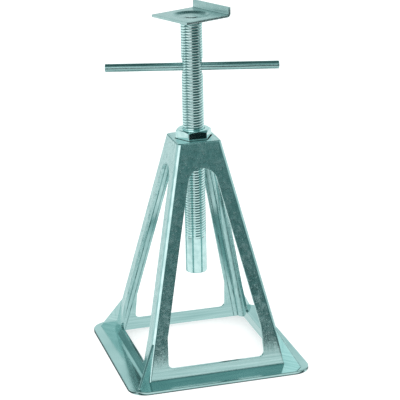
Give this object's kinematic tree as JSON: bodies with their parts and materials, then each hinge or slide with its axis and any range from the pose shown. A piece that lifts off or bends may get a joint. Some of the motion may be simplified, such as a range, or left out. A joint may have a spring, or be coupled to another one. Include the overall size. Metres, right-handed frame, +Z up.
{
  "type": "screw jack stand",
  "caption": "Stabiliser jack stand: open cast pyramid base on a flat flange, captive hex nut, threaded lifting tube with a cross bar, and a lipped swivel saddle on top.",
  "frame": {"origin": "centre of the base's footprint, on the ground it stands on", "axes": "+Z up along the lifting screw, -Y out of the front window, +X to the right seen from the front"},
  "size_m": [0.1744, 0.1744, 0.3356],
  "materials": {
    "cast_aluminium": "as cast, satin",
    "zinc_plated_steel": "bright zinc plate",
    "bright_steel_rod": "bright drawn",
    "plated_sheet_steel": "dull zinc plate"
  },
  "bodies": {
    "base": {"base_casting": "cast_aluminium", "lift_nut": "zinc_plated_steel"},
    "swivel": {"swivel_rivet": "zinc_plated_steel"},
    "screw": {"lift_screw": "zinc_plated_steel", "top_plug": "zinc_plated_steel", "tommy_bar": "bright_steel_rod"},
    "saddle": {"saddle_plate": "plated_sheet_steel"}
  },
  "joints": [
    {"name": "screw_lift", "type": "slide", "parent": "base", "child": "swivel", "axis": [0, 0, 1], "range_m": [-0.05401, 0.08501]},
    {"name": "screw_turn", "type": "hinge", "parent": "swivel", "child": "screw", "pos_m": [0, 0, 0.3], "axis": [0, 0, 1], "range_deg": [-7776, 12240]},
    {"name": "saddle_swivel", "type": "hinge", "parent": "swivel", "child": "saddle", "pos_m": [0, 0, 0.3288], "axis": [0, 0, 1], "continuous": true}
  ],
  "couplings": [
    {"joint": "screw_lift", "follows": "screw_turn", "m_per_rad": 0.00039789}
  ]
}
